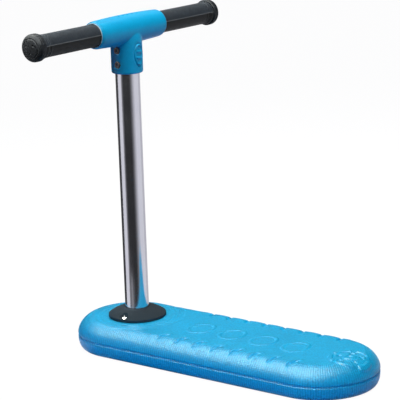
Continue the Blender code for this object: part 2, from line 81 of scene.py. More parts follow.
# Hub and collar
AXIS = middle("pole_tube")
POLE_RADIUS = extent("pole_tube").x / 2
POLE_WALL = 2 * MM
POLE_BOTTOM, POLE_TOP = (corner.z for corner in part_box("pole_tube"))
HUB_HOLE = extent("hub_housing").x / 2 + 0.5 * MM
RING_RADIUS = extent("hub_backing_ring").x / 2
RING_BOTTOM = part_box("hub_backing_ring")[0].z
HUB_WELL_RADIUS = 24.5 * MM
HUB_WELL_FLOOR = 5.8 * MM
COLLAR_LOW, COLLAR_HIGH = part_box("base_collar")
COLLAR_RADIUS = extent("base_collar").x / 2
COLLAR_RIM = 3.6 * MM
COLLAR_WALL = 2.5 * MM
COLLAR_BORE = POLE_RADIUS + 0.5 * MM
COLLAR_CAVITY = 27 * MM
COLLAR_CONE_SHARE = 0.5
COLLAR_POWER = 2.6
SCREW_HEAD_RADIUS = extent("collar_screw_left").x / 2
SCREW_HEAD_HEIGHT = 3 * MM
SCREW_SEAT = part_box("collar_screw_left")[1].z - SCREW_HEAD_HEIGHT
SCREW_WELL_RADIUS = 5.9 * MM
SCREW_RADIUS = 2 * MM

# Handle
HANDLE_HEIGHT = middle("crossbar_tube").z
BAR_RADIUS = extent("crossbar_tube").x / 2
CLAMP_LOW, CLAMP_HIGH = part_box("handle_clamp")
STEM_RADIUS = extent("handle_clamp").x / 2
STEM_ROUND = 1.8 * MM
STEM_SHOULDER = 450 * MM
STEM_CROWN = 18 * MM
STEM_CROWN_EXPONENT = 0.125
BARREL_HALF = CLAMP_HIGH.y
BARREL_MID_RADIUS = CLAMP_HIGH.z - HANDLE_HEIGHT
BARREL_END_RADIUS = 19.5 * MM
BARREL_ROUND = 3.2 * MM
GRIP_SOCKET_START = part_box("grip_right")[0].y - GAP
CLAMP_BOLT_HEIGHTS = (middle("clamp_bolt_upper").z, middle("clamp_bolt_lower").z)
CLAMP_WELL_RADIUS = 5.5 * MM
CLAMP_WELL_FLOOR = 19.3 * MM
CLAMP_HEAD_HEIGHT = 2.9 * MM
BOLT_HEAD_RADIUS = extent("clamp_bolt_upper").z / 2
BOLT_RADIUS = 2.9 * MM
HEX_RADIUS = 2.9 * MM
CROSS_HOLE = 4 * MM
SLEEVE_RADIUS = 3.7 * MM
SLEEVE_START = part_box("clamp_sleeve_nut_upper")[0].y
SLEEVE_BORE = 3.2 * MM
GRIP_LOW, GRIP_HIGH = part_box("grip_right")
GRIP_RADIUS = 16.1 * MM
GRIP_NECK_RADIUS = extent("grip_right").x / 2
GRIP_NECK_LENGTH = 3.6 * MM
PLUG_LOW, PLUG_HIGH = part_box("bar_end_plug_right")
PLUG_RADIUS = extent("bar_end_plug_right").x / 2
PLUG_SHANK_RADIUS = 8.7 * MM
PLUG_POWER = 2.4

SIDES = (("left", -1), ("right", 1))
ROUND = 128  # facets round a large turned piece
SMALL_ROUND = 48  # facets round a fastener
SHARP_ANGLE = math.radians(38)


# --- mesh tools ---


def smooth_step(value, low, high):
    """0 below low, 1 above high, smooth between. Works on arrays."""
    share = np.clip((value - low) / (high - low), 0, 1)
    return share * share * (3 - 2 * share)


def window(value, low, rise, fall, high):
    """0 outside low and high, 1 between rise and fall, smooth between."""
    return smooth_step(value, low, rise) * (1 - smooth_step(value, fall, high))


def band(distance, inner, outer, soften=0.8 * MM):
    """1 between two distances, falling softly to 0 outside them."""
    return window(distance, inner - soften, inner + soften, outer - soften, outer + soften)


def bell(offset, width):
    """1 at no offset, falling off like a bell curve."""
    return np.exp(-((offset / width) ** 2))


def superellipse(inner, outer, low, high, power, steps=200):
    """Points from (outer, low) to (inner, high) on a quarter superellipse."""
    angle = np.linspace(0, np.pi / 2, steps)
    radius = inner + (outer - inner) * np.cos(angle).clip(0) ** (2 / power)
    height = low + (high - low) * np.sin(angle) ** (2 / power)
    return np.column_stack([radius, height])


def resample(points, spacing):
    """The same open path with its points about a spacing apart."""
    points = np.asarray(points, float)
    lengths = np.hypot(*np.diff(points, axis=0).T)
    along = np.concatenate([[0], np.cumsum(lengths)])
    count = max(2, round(along[-1] / spacing) + 1)
    wanted = np.linspace(0, along[-1], count)
    return np.column_stack([np.interp(wanted, along, points[:, axis]) for axis in (0, 1)])


def arc_points(centre, start, end, steps):
    """Points on a circle round centre, from start to end the short way."""
    first, last = start - centre, end - centre
    cosine = first @ last / (np.linalg.norm(first) * np.linalg.norm(last))
    turn = math.acos(np.clip(cosine, -1, 1))
    share = np.linspace(0, 1, steps)[:, None]
    return centre + (np.sin((1 - share) * turn) * first + np.sin(share * turn) * last) / math.sin(turn)


def rounded(corners, steps=5):
    """A closed path through (radius, height, fillet) corners, with an arc at each fillet."""
    points = []
    count = len(corners)
    for index, (radius, height, fillet) in enumerate(corners):
        here = np.array((radius, height))
        if not fillet:
            points.append(here)
            continue
        back = np.array(corners[index - 1][:2]) - here
        ahead = np.array(corners[(index + 1) % count][:2]) - here
        back /= np.linalg.norm(back)
        ahead /= np.linalg.norm(ahead)
        half = math.acos(np.clip(back @ ahead, -1, 1)) / 2
        middle_way = (back + ahead) / np.linalg.norm(back + ahead)
        centre = here + middle_way * fillet / math.sin(half)
        reach = fillet / math.tan(half)
        points.extend(arc_points(centre, here + back * reach, here + ahead * reach, steps))
    return np.array(points)


def guarded(path, guard=0.8 * MM):
    """Adds a point near each end of a closed path's long stretches, which keeps their shading straight."""
    points = []
    for here, ahead in zip(path, np.roll(path, -1, axis=0)):
        length = np.linalg.norm(ahead - here)
        step = (ahead - here) * guard / length
        points.extend([here, here + step, ahead - step] if length > 6 * guard else [here])
    return np.array(points)


def ring_faces(rows, columns, close_rows):
    """Quads between neighbouring rows of points, each row a closed ring."""
    row = np.arange(rows if close_rows else rows - 1)[:, None]
    column = np.arange(columns)
    here, ahead = row * columns, (row + 1) % rows * columns
    beside = (column + 1) % columns
    corners = [here + column, here + beside, ahead + beside, ahead + column]
    return np.stack(corners, -1).reshape(-1, 4)


def unwrapped(uv):
    """Carries a ring's closing quads past its end instead of back to its start."""
    around = uv[:, :, 0]
    length = around.max()
    closing = np.ptp(around, axis=1) > length / 2
    around[closing] += length * (around[closing] < length / 2)
    return uv


def linked(name, data):
    """A new object in the scene."""
    made = bpy.data.objects.new(name, data)
    bpy.context.scene.collection.objects.link(made)
    return made


def build(name, points, faces, uv=None):
    """A linked mesh object with merged points and outward normals."""
    mesh = bpy.data.meshes.new(name)
    mesh.from_pydata(points.reshape(-1, 3).tolist(), [], faces.tolist())
    if uv is not None:
        layer = mesh.uv_layers.new(name="Surface")
        corners = np.empty(len(mesh.loops), np.int32)
        mesh.loops.foreach_get("vertex_index", corners)
        flat = unwrapped(uv.reshape(-1, 2)[corners].reshape(-1, 4, 2))
        layer.data.foreach_set("uv", flat.astype(np.float32).ravel())
    bm = bmesh.new()
    bm.from_mesh(mesh)
    bmesh.ops.remove_doubles(bm, verts=bm.verts, dist=1e-6)
    bmesh.ops.recalc_face_normals(bm, faces=bm.faces)
    bm.to_mesh(mesh)
    bm.free()
    mesh.shade_smooth()
    return linked(name, mesh)


def lathe(name, profile, segments=ROUND, relief=None):
    """Turns a path of (radius, height) about Z. It stays open if both ends touch the axis.

    relief(angle, height, along) moves points outwards. along is the place in the path, from 0 to 1.
    """
    profile = np.asarray(profile, float)
    angle = np.linspace(0, math.tau, segments, endpoint=False)[None, :]
    radius, height = np.repeat(profile.T[:, :, None], segments, 2)
    if relief:
        along = np.linspace(0, 1, len(profile))[:, None]
        radius = radius + relief(angle, height, along)
    points = np.stack([radius * np.cos(angle), radius * np.sin(angle), height], -1)
    touches_axis = profile[0, 0] < 1e-9 and profile[-1, 0] < 1e-9
    faces = ring_faces(len(profile), segments, not touches_axis)
    return build(name, points, faces)


def place(thing, matrix):
    """Moves the mesh itself. The object stays at the origin."""
    thing.data.transform(matrix)
    if matrix.determinant() < 0:
        thing.data.flip_normals()
    return thing


def set_down(thing, spot, turn=0, about="X"):
    """Turns a piece about one axis, then moves it to a spot."""
    return place(thing, Matrix.Translation(spot) @ Matrix.Rotation(turn, 4, about))


def read_points(mesh):
    points = np.empty(len(mesh.vertices) * 3, np.float32)
    mesh.vertices.foreach_get("co", points)
    return points.reshape(-1, 3)


def write_points(mesh, points):
    mesh.vertices.foreach_set("co", points.astype(np.float32).ravel())
    mesh.update()


def bake_modifiers(thing):
    """Applies the modifiers."""
    graph = bpy.context.evaluated_depsgraph_get()
    graph.update()
    made = bpy.data.meshes.new_from_object(thing.evaluated_get(graph), depsgraph=graph)
    thing.modifiers.clear()
    thing.data = made


def cut(thing, *cutters, crossing=False):
    """Cuts solids out of a piece and removes them. A crossing cutter overlaps itself."""
    for cutter in cutters:
        modifier = thing.modifiers.new(cutter.name, "BOOLEAN")
        modifier.operation = "DIFFERENCE"
        modifier.solver = "EXACT"
        modifier.use_self = crossing
        modifier.object = cutter
    bake_modifiers(thing)
    for cutter in cutters:
        bpy.data.objects.remove(cutter, do_unlink=True)
    return thing


def shade(thing):
    """Smooth shading with the sharp edges kept."""
    thing.data.shade_smooth()
    thing.data.set_sharp_from_angle(angle=SHARP_ANGLE)
    return thing


def rod(name, radius, low, high, segments=SMALL_ROUND):
    """A closed cutter cylinder or prism about Z."""
    return lathe(name, [(0, low), (radius, low), (radius, high), (0, high)], segments)


def stepped(low, narrow, step, wide, high):
    """A cutter's path for a stepped hole, wide above the step."""
    return [(0, low), (narrow, low), (narrow, step), (wide, step), (wide, high), (0, high)]


def finish_piece(thing, body, node, material):
    """Gives a piece its body and material, and hides the CAD node it replaces."""
    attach(thing, body)
    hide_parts(node)
    thing.data.materials.clear()
    thing.data.materials.append(material)
    return thing


# --- materials ---

BLUE = (0.006, 0.51, 0.945)
BLUE_SHADE = (0.004, 0.475, 0.905)
CLAMP_BLUE = (0.006, 0.46, 0.90)
CLAMP_SHADE = (0.004, 0.40, 0.83)
DEEP_BLUE = (0.002, 0.16, 0.45)  # pores and grain, and painted shade in the valleys between the foam's ribs
# pale painted highlight on the inner lip of the grip sockets
LIP_HIGHLIGHT_BLUE = (0.60, 0.76, 0.90)
COLLAR_BLACK = (0.034, 0.045, 0.060)
RIB_PITCH = 3.6 * MM
ROW_PITCH = 2.4 * MM
ROW_SHARE = 0.15  # how strong the rows are beside the ribs
PLY_WAVE = 1.5 * MM
NOISE_LOW, NOISE_HIGH = 0.3, 0.7  # where most of a noise's values lie
MIX_FIRST, MIX_SECOND, MIX_RESULT = 6, 7, 2  # a Mix node's colour sockets


class Shader:
    """A material's node tree round one Principled shader."""

    def __init__(self, name, colour, roughness, metallic=0):
        self.material = bpy.data.materials.new(name)
        self.material.use_nodes = True
        self.tree = self.material.node_tree
        self.surface = self.tree.nodes["Principled BSDF"]
        self.set("Base Color", (*colour, 1))
        self.set("Roughness", roughness)
        self.set("Metallic", metallic)
        self.place = self.tree.nodes.new("ShaderNodeTexCoord").outputs["Object"]

    def set(self, socket, value):
        self.surface.inputs[socket].default_value = value

    def node(self, kind, links=(), **settings):
        """Adds a node. links maps inputs to what feeds them, or to their values."""
        made = self.tree.nodes.new(kind)
        for name, value in settings.items():
            setattr(made, name, value)
        for name, value in dict(links).items():
            socket = made.inputs[name]
            if isinstance(value, bpy.types.NodeSocket):
                self.tree.links.new(value, socket)
            else:
                socket.default_value = value
        return made

    def drive(self, socket, source):
        self.tree.links.new(source, self.surface.inputs[socket])

    def stretched(self, scale):
        """Object coordinates scaled apart, which makes streaks."""
        return self.node("ShaderNodeMapping", {"Vector": self.place, "Scale": scale}).outputs[0]

    def noise(self, scale, detail=3, roughness=0.55, where=None):
        links = {"Vector": where or self.place, "Scale": scale, "Detail": detail, "Roughness": roughness}
        return self.node("ShaderNodeTexNoise", links).outputs["Fac"]

    def remap(self, value, low, high, to_low=0, to_high=1):
        links = {0: value, 1: low, 2: high, 3: to_low, 4: to_high}
        return self.node("ShaderNodeMapRange", links).outputs[0]

    def math(self, operation, *values):
        return self.node("ShaderNodeMath", dict(enumerate(values)), operation=operation).outputs[0]

    def wave(self, value, pitch):
        """A sine that repeats once in every pitch."""
        return self.math("SINE", self.math("MULTIPLY", value, math.tau / pitch))

    def split(self, vector):
        return self.node("ShaderNodeSeparateXYZ", {0: vector}).outputs

    def blend(self, factor, first, second):
        first, second = ((*side, 1) if isinstance(side, tuple) else side for side in (first, second))
        made = self.node("ShaderNodeMix", {0: factor, MIX_FIRST: first, MIX_SECOND: second}, data_type="RGBA")
        return made.outputs[MIX_RESULT]

    def bump(self, height, distance, strength, **below):
        links = {"Height": height, "Distance": distance, "Strength": strength, **below}
        return self.node("ShaderNodeBump", links).outputs[0]

    def grain(self, scale, depth, strength, detail=2):
        self.drive("Normal", self.bump(self.noise(scale, detail), depth, strength))

    def vary_roughness(self, source, low, high):
        self.drive("Roughness", self.remap(source, NOISE_LOW, NOISE_HIGH, low, high))

    def mottle(self, source, first, second):
        """One colour where a noise is low, another where it is high."""
        return self.blend(self.remap(source, NOISE_LOW, NOISE_HIGH), first, second)

    def vary_colour(self, source, first, second):
        self.drive("Base Color", self.mottle(source, first, second))


def foam_material():
    """Moulded foam: ribs run up the sides, painted shade darkens the valleys between them, and darker pores
    cover it all.
    """
    shader = Shader("foam_skin", BLUE, 0.36)
    shader.set("Specular Tint", (1, 0.98, 0.55, 1))
    shader.set("Sheen Weight", 0.03)
    shader.set("Sheen Roughness", 0.4)
    shader.set("Sheen Tint", (0.4, 0.85, 1, 1))
    along, down, _ = shader.split(shader.node("ShaderNodeUVMap", uv_map="Surface").outputs[0])
    ribs = shader.wave(along, RIB_PITCH)
    rows = shader.wave(down, ROW_PITCH)
    on_side = shader.remap(down, TOP_FLAT_HALF - 12 * MM, TOP_FLAT_HALF + 2 * MM)
    knit = shader.math("MULTIPLY", shader.math("MULTIPLY_ADD", rows, ROW_SHARE, ribs), on_side)
    # painted shade: the base colour darkens in the valleys between the ribs
    rib_valley_shade = shader.remap(knit, -1, 0.5, 0.24, 0)
    pores = shader.remap(shader.noise(470, 2), 0.36, 0.64, 0, 0.35)
    blue = shader.mottle(shader.noise(14, 4), BLUE_SHADE, BLUE)
    shader.drive("Base Color", shader.blend(shader.math("ADD", rib_valley_shade, pores), blue, DEEP_BLUE))
    shader.drive("Specular IOR Level", shader.remap(knit, -1, 1, 0.18, 0.34))
    skin = shader.bump(shader.noise(1900, 2), 0.06 * MM, 0.5)
    shader.drive("Normal", shader.bump(knit, 0.11 * MM, 0.9, Normal=skin))
    shader.vary_roughness(shader.noise(700, 3), 0.32, 0.42)
    return shader.material


def clamp_material():
    """Moulded nylon in blue with a faint grain, and a pale painted highlight on the inner lip of each grip
    socket.
    """
    shader = Shader("clamp_plastic", CLAMP_BLUE, 0.34)
    shader.set("Specular IOR Level", 0.12)
    blue = shader.mottle(shader.noise(30, 4), CLAMP_SHADE, CLAMP_BLUE)
    grain = shader.remap(shader.noise(520, 2), 0.36, 0.64, 0, 0.16)
    blue = shader.blend(grain, blue, DEEP_BLUE)
    # painted highlight: the socket lips turn pale blue
    shader.drive("Base Color", shader.blend(socket_lip_highlight(shader), blue, LIP_HIGHLIGHT_BLUE))
    shader.grain(1500, 0.03 * MM, 0.5)
    shader.vary_roughness(shader.noise(240, 4), 0.29, 0.40)
    return shader.material


def socket_lip_highlight(shader):
    """1 on the inner lip of the two grip sockets, where a pale highlight is painted, 0 elsewhere."""
    across, side, up = from_bar(shader)
    flat = shader.node("ShaderNodeCombineXYZ", {"X": across, "Z": up}).outputs[0]
    away = shader.node("ShaderNodeVectorMath", {0: flat}, operation="LENGTH").outputs["Value"]
    near_bar = shader.remap(away, GRIP_RADIUS + 1.9 * MM, GRIP_RADIUS + 2.3 * MM, 1, 0)
    at_end = shader.remap(shader.math("ABSOLUTE", side), BARREL_HALF - 1.4 * MM, BARREL_HALF - 1 * MM)
    return shader.math("MULTIPLY", near_bar, at_end)


def collar_material():
    """Black satin plastic with spark grain and pale scuffs."""
    shader = Shader("collar_plastic", COLLAR_BLACK, 0.5)
    shader.set("Specular IOR Level", 0.02)
    scuffs = shader.remap(shader.noise(160, 8, 0.75), 0.58, 0.72, 0, 0.35)
    shader.drive("Base Color", shader.blend(scuffs, COLLAR_BLACK, (0.060, 0.074, 0.094)))
    shader.grain(2400, 0.04 * MM, 0.6)
    shader.vary_roughness(shader.noise(300, 5), 0.60, 0.72)
    return shader.material


def rubber_material(name, base, worn_base, panelled):
    """Matte black rubber, greyer where worn. A panelled one has a dark panel under a pale line. The panel's
    darkness is partly its own darker rubber and partly painted shade on the grip's lower, tail-facing side.
    """
    shader = Shader(name, base, 0.46)
    shader.set("Specular IOR Level", 0.13)
    shader.set("Sheen Weight", 0.06)
    shader.set("Sheen Roughness", 0.5)
    worn = shader.remap(shader.noise(90, 7, 0.7), 0.5, 0.75, 0, 0.5)
    colour = shader.blend(worn, base, worn_base)
    if panelled:
        across, _, up = from_bar(shader)
        level = shader.math("ARCTAN2", up, across)
        panel = between(shader, level, PANEL_BOTTOM, PANEL_TOP)
        # dark panel: partly the panel's own darker rubber, partly painted shade on the grip's lower,
        # tail-facing side
        colour = shader.blend(panel, colour, (0.006, 0.007, 0.009))
        line = between(shader, level, PANEL_TOP, PANEL_TOP + STRIP_ANGLE)
        colour = shader.blend(line, colour, (0.12, 0.13, 0.15))
    shader.drive("Base Color", colour)
    shader.grain(2600, 0.05 * MM, 0.7)
    shader.vary_roughness(shader.noise(220, 4), 0.40, 0.54)
    return shader.material


def from_bar(shader):
    """Where a point lies from the crossbar's middle: towards the tail, along the bar, and up."""
    x, y, z = shader.split(shader.place)
    return shader.math("SUBTRACT", x, AXIS.x), y, shader.math("SUBTRACT", z, HANDLE_HEIGHT)


def between(shader, level, low, high, blur=0.02):
    """1 between two angles and 0 outside them."""
    above = shader.remap(level, low - blur, low + blur)
    below = shader.remap(level, high - blur, high + blur, 1, 0)
    return shader.math("MULTIPLY", above, below)


def aluminium_material():
    """Drawn and polished tube: fine lines along it and a few rub marks."""
    shader = Shader("polished_aluminium", (0.62, 0.62, 0.67), 0.15, 1)
    lines = shader.noise(1, 5, 0.6, shader.stretched((1700, 1700, 9)))
    clouds = shader.noise(26, 4)
    shader.vary_colour(clouds, (0.60, 0.60, 0.655), (0.64, 0.64, 0.69))
    shader.drive("Normal", shader.bump(lines, 0.012 * MM, 0.35))
    both = shader.math("MULTIPLY_ADD", lines, 0.5, shader.math("MULTIPLY", clouds, 0.5))
    shader.vary_roughness(both, 0.11, 0.20)
    return shader.material


def steel_material(name, colour, roughness):
    """Turned or plated steel, with fine scratches."""
    shader = Shader(name, colour, roughness, 1)
    scratches = shader.noise(1, 6, 0.7, shader.stretched((900, 900, 4000)))
    paler = tuple(min(1, c * 1.18) for c in colour)
    shader.vary_colour(shader.noise(420, 5), colour, paler)
    shader.drive("Normal", shader.bump(scratches, 0.01 * MM, 0.5))
    shader.vary_roughness(scratches, roughness * 0.8, roughness * 1.3)
    return shader.material


def moulded_material(name, colour, paler, grain_scale):
    """Plain engineering plastic for the parts inside."""
    shader = Shader(name, colour, 0.45)
    shader.vary_colour(shader.noise(60, 5), colour, paler)
    shader.grain(grain_scale, 0.04 * MM, 0.5, 3)
    shader.vary_roughness(shader.noise(260, 4), 0.38, 0.52)
    return shader.material


def plywood_material():
    """Birch plywood: grain along the deck, darker glue lines at the edges."""
    shader = Shader("birch_ply", (0.55, 0.40, 0.24), 0.6)
    grain = shader.noise(1, 8, 0.65, shader.stretched((12, 260, 260)))
    plies = shader.wave(shader.split(shader.place)[2], PLY_WAVE)
    wood = shader.mottle(grain, (0.42, 0.27, 0.14), (0.66, 0.49, 0.30))
    glue = shader.remap(plies, 0.7, 1, 0, 0.5)
    shader.drive("Base Color", shader.blend(glue, wood, (0.16, 0.09, 0.05)))
    shader.drive("Normal", shader.bump(grain, 0.05 * MM, 0.6))
    return shader.material


# --- deck ---

GROOVE_COUNT = 8
GROOVE_LAST = 318 * MM  # inner end of the groove nearest the tail, from the spin axis
GROOVE_PITCH = 31.6 * MM
GROOVE_LEAN = 7 * MM  # how far its outer end lies nearer the nose
GROOVE_INNER = 49 * MM
GROOVE_OUTER = 71 * MM
GROOVE_HALF_WIDTH = 4 * MM
GROOVE_DEPTH = 2.6 * MM
LIP_HEIGHT = 0.8 * MM
LIP_RADIUS = 4 * MM
LIP_AHEAD = 3.5 * MM
LIP_INSIDE = 1 * MM
PILLOW_HEIGHT = 0.45 * MM
PILLOW_INNER = 46 * MM
PILLOW_OUTER = 72 * MM
OVAL_COUNT = 4
OVAL_LAST = 283 * MM  # centre of the raised oval nearest the tail, from the spin axis
OVAL_PITCH = 54 * MM
OVAL_SIDE = -4 * MM
OVAL_LONG = 23 * MM
OVAL_SHORT = 19.5 * MM
OVAL_LINE = 5 * MM
OVAL_HEIGHT = 1 * MM
BADGE_CENTRE = (370 * MM, -4 * MM)
BADGE_REACH = 29 * MM
BADGE_ARCS = 5
BADGE_HEIGHT = 1.7 * MM
RIPPLE_HEIGHT = 0.34 * MM
RIPPLE_PITCH = 8 * MM
WAVE_HEIGHT = 0.12 * MM


def groove_relief(x, side):
    """Short cross grooves on both shoulders, with pillows between and a lip at each inner end."""
    start, end = GROOVE_INNER, GROOVE_OUTER
    share = np.clip((side - start) / (end - start), 0, 1)
    ends = window(side, start - 2 * MM, start + 5 * MM, end - 7 * MM, end + 1 * MM)
    phase = (GROOVE_LAST - GROOVE_LEAN * share - x) / GROOVE_PITCH
    nearest = np.clip(np.round(phase), 0, GROOVE_COUNT - 1)
    across = np.abs(phase - nearest) * GROOVE_PITCH
    groove = 1 - smooth_step(across, 0.2 * GROOVE_HALF_WIDTH, GROOVE_HALF_WIDTH)
    in_row = window(phase, -0.7, -0.3, GROOVE_COUNT - 0.7, GROOVE_COUNT - 0.3)
    pillow = (1 - np.cos(math.tau * phase)) / 2 * in_row * band(side, PILLOW_INNER, PILLOW_OUTER, 5 * MM)
    from_lip = np.hypot((phase - nearest) * GROOVE_PITCH + LIP_AHEAD, side - start + LIP_INSIDE)
    lip = LIP_HEIGHT * (1 - smooth_step(from_lip, 0, LIP_RADIUS))
    return PILLOW_HEIGHT * pillow + lip - GROOVE_DEPTH * groove * ends


def oval_relief(x, y):
    """A row of raised plain ovals down the middle of the deck."""
    phase = np.clip(np.round((OVAL_LAST - x) / OVAL_PITCH), 0, OVAL_COUNT - 1)
    along = (x - (OVAL_LAST - phase * OVAL_PITCH)) * OVAL_LONG / OVAL_SHORT
    distance = np.hypot(along, y - OVAL_SIDE)
    return OVAL_HEIGHT * band(distance, OVAL_LONG - OVAL_LINE, OVAL_LONG, 0.7 * MM)


def badge_relief(x, y):
    """A plain round badge: a ring of curved strokes, a ring of pressed dots and a boss."""
    distance = np.hypot(x - BADGE_CENTRE[0], y - BADGE_CENTRE[1])
    angle = np.arctan2(y - BADGE_CENTRE[1], x - BADGE_CENTRE[0])
    turn = np.cos(BADGE_ARCS * angle)
    strokes = band(distance, BADGE_REACH - 6 * MM, BADGE_REACH) * smooth_step(turn, -0.85, -0.6)
    dots = band(distance, 14 * MM, 19 * MM) * smooth_step(-turn, 0.35, 0.75)
    boss = band(distance, 3 * MM, 9 * MM)
    return BADGE_HEIGHT * (np.maximum(strokes, boss) - 0.9 * dots)


def collar_ripple(x, y):
    """Faint rings in the foam round the collar."""
    distance = np.hypot(x, y)
    near_collar = band(distance, 50 * MM, 72 * MM, 6 * MM)
    return RIPPLE_HEIGHT * near_collar * np.cos(math.tau * distance / RIPPLE_PITCH)


def top_relief(x, y):
    """Everything moulded into the deck's top, as a height. x is from the spin axis."""
    waviness = WAVE_HEIGHT * np.sin(x / (23 * MM)) * np.cos(y / (17 * MM) + x / (61 * MM))
    marks = oval_relief(x, y) + badge_relief(x, y)
    return groove_relief(x, np.abs(y)) + marks + collar_ripple(x, y) + waviness


def stadium(distance):
    """Rings a given distance out from the deck's middle line: points and outward directions."""
    straight = np.linspace(-DECK_END_CENTRE, DECK_END_CENTRE, STRAIGHT_STEPS, endpoint=False)
    turn = np.linspace(-math.pi / 2, math.pi / 2, ARC_STEPS, endpoint=False)
    side = [straight, np.zeros(STRAIGHT_STEPS), np.full(STRAIGHT_STEPS, -1)]
    end = [np.full(ARC_STEPS, DECK_END_CENTRE), np.cos(turn), np.sin(turn)]
    half = np.hstack([side, end])
    start_x, out_x, out_y = np.hstack([half, -half])[:, None]
    distance = distance[:, None]
    return start_x + distance * out_x, distance * out_y, out_x, out_y


def rim_places():
    """How far along the rim each column lies. The whole way round is a whole number of ribs."""
    straight = [2 * DECK_END_CENTRE / STRAIGHT_STEPS] * STRAIGHT_STEPS
    arc = [math.pi * DECK_HALF_WIDTH / ARC_STEPS] * ARC_STEPS
    lengths = np.array((straight + arc) * 2)
    lengths *= round(lengths.sum() / RIB_PITCH) * RIB_PITCH / lengths.sum()
    return np.concatenate([[0], np.cumsum(lengths)[:-1]])


def foam_shell(name, profile, detailed):
    """Lofts a (distance, height) profile round the deck. The detailed first rows take the relief."""
    x, y, out_x, out_y = stadium(profile[:, 0])
    z = np.repeat(profile[:, 1:], x.shape[1], 1)
    tangent = np.gradient(profile, axis=0)
    tangent /= np.linalg.norm(tangent, axis=1)[:, None]
    outward, upward = -tangent[:, 1:], tangent[:, :1]
    weight = np.zeros((len(profile), 1))
    weight[:detailed] = 1
    height = weight * top_relief(x - AXIS.x, y)
    points = np.stack([x + height * outward * out_x, y + height * outward * out_y, z + height * upward], -1)
    down = np.concatenate([[0], np.cumsum(np.hypot(*np.diff(profile, axis=0).T))])
    uv = np.stack(np.broadcast_arrays(rim_places()[None, :], down[:, None]), -1)
    return build(name, points, ring_faces(len(profile), x.shape[1], False), uv)


def seam_lip(seam, side):
    """A shell's rounded lip at the seam, from its face to its mating surface."""
    angle = np.linspace(0, math.pi / 2, 5)
    out = DECK_HALF_WIDTH - SEAM_ROUND + SEAM_ROUND * np.cos(angle)
    return np.column_stack([out, seam + side * SEAM_ROUND - side * SEAM_ROUND * np.sin(angle)])


def seam_bead(seam):
    """The thin flash line on the lower shell's lip."""
    root = DECK_HALF_WIDTH - SEAM_ROUND
    tip = DECK_HALF_WIDTH - BEAD_DEPTH
    return [(root, seam - BEAD_HEIGHT), (tip, seam - BEAD_HEIGHT), (tip, seam), (root, seam)]


def finish_foam(foam, hub_cutter, node, material):
    """Makes room for the hub and finishes the shell as a piece of the deck."""
    cut(foam, set_down(hub_cutter, (AXIS.x, 0, 0)))
    finish_piece(foam, "deck", node, material)


def make_upper_foam(material):
    seam = UPPER_LOW.z
    crown = superellipse(TOP_FLAT_HALF, DECK_HALF_WIDTH, seam + SEAM_ROUND, DECK_TOP, CROWN_POWER)
    outside = resample(np.vstack([[(0, DECK_TOP)], crown[::-1]]), RING_SPACING)
    pocket = BOARD_HIGH.z + GAP
    inside = [(POCKET_HALF_WIDTH, seam), (POCKET_HALF_WIDTH, pocket), (0, pocket)]
    profile = np.vstack([outside[:-1], seam_lip(seam, 1), inside])
    foam = foam_shell("deck_foam_upper", profile, len(outside) - 2)
    finish_foam(foam, rod("hub_hole", HUB_HOLE, 0, 2 * DECK_TOP, ROUND), "deck_upper_foam", material)


def make_lower_foam(material):
    seam = LOWER_TOP
    belly = superellipse(BOTTOM_FLAT_HALF, DECK_HALF_WIDTH, seam - BEAD_HEIGHT - SEAM_ROUND, 0, BELLY_POWER)
    outside = resample(np.vstack([[(0, 0)], belly[::-1]]), 2 * RING_SPACING)
    pocket = BOARD_LOW.z - GAP
    inside = [(POCKET_HALF_WIDTH, seam), (POCKET_HALF_WIDTH, pocket), (0, pocket)]
    lip = seam_lip(seam - BEAD_HEIGHT, -1)
    profile = np.vstack([outside[:-1], lip[:-1], seam_bead(seam), inside])
    foam = foam_shell("deck_foam_lower", profile, 0)
    well_profile = stepped(HUB_WELL_FLOOR, HUB_WELL_RADIUS, RING_BOTTOM - GAP, RING_RADIUS + GAP, DECK_TOP)
    finish_foam(foam, lathe("hub_well", well_profile, ROUND), "deck_lower_foam", material)


# --- collar ---


def dome_height(radius):
    """The collar's outer height at a distance from the spin axis."""
    low = COLLAR_LOW.z + COLLAR_RIM
    share = (radius - COLLAR_BORE) / (COLLAR_RADIUS - COLLAR_BORE)
    fall = COLLAR_CONE_SHARE * share + (1 - COLLAR_CONE_SHARE) * share**COLLAR_POWER
    return low + (COLLAR_HIGH.z - low) * (1 - fall)


def make_collar(material):
    bottom = COLLAR_LOW.z
    lip = 1.2 * MM
    dome = [(r, dome_height(r), 0) for r in np.linspace(COLLAR_BORE + lip, COLLAR_RADIUS - lip, 30)]
    edge = [(COLLAR_RADIUS, dome_height(COLLAR_RADIUS - lip / 3), 0.9 * MM)]
    foot = [(COLLAR_RADIUS, bottom, 0.6 * MM), (COLLAR_CAVITY, bottom, 0)]
    cavity = [(r, dome_height(r) - COLLAR_WALL, 0) for r in np.linspace(COLLAR_CAVITY, COLLAR_BORE, 6)]
    mouth = [(COLLAR_BORE, COLLAR_HIGH.z, 0.5 * MM)]
    collar = lathe("collar_dome", rounded([*mouth, *dome, *edge, *foot, *cavity]), ROUND + 32)
    set_down(collar, (AXIS.x, 0, 0))
    profile = stepped(0, SCREW_RADIUS + GAP, SCREW_SEAT - GAP, SCREW_WELL_RADIUS, 2 * COLLAR_HIGH.z)
    wells = []
    for label, _ in SIDES:
        centre = middle(f"collar_screw_{label}")
        well = lathe(f"well_{label}", profile, SMALL_ROUND)
        wells.append(set_down(well, (centre.x, centre.y, 0)))
    cut(collar, *wells)
    finish_piece(shade(collar), "deck", "base_collar", material)


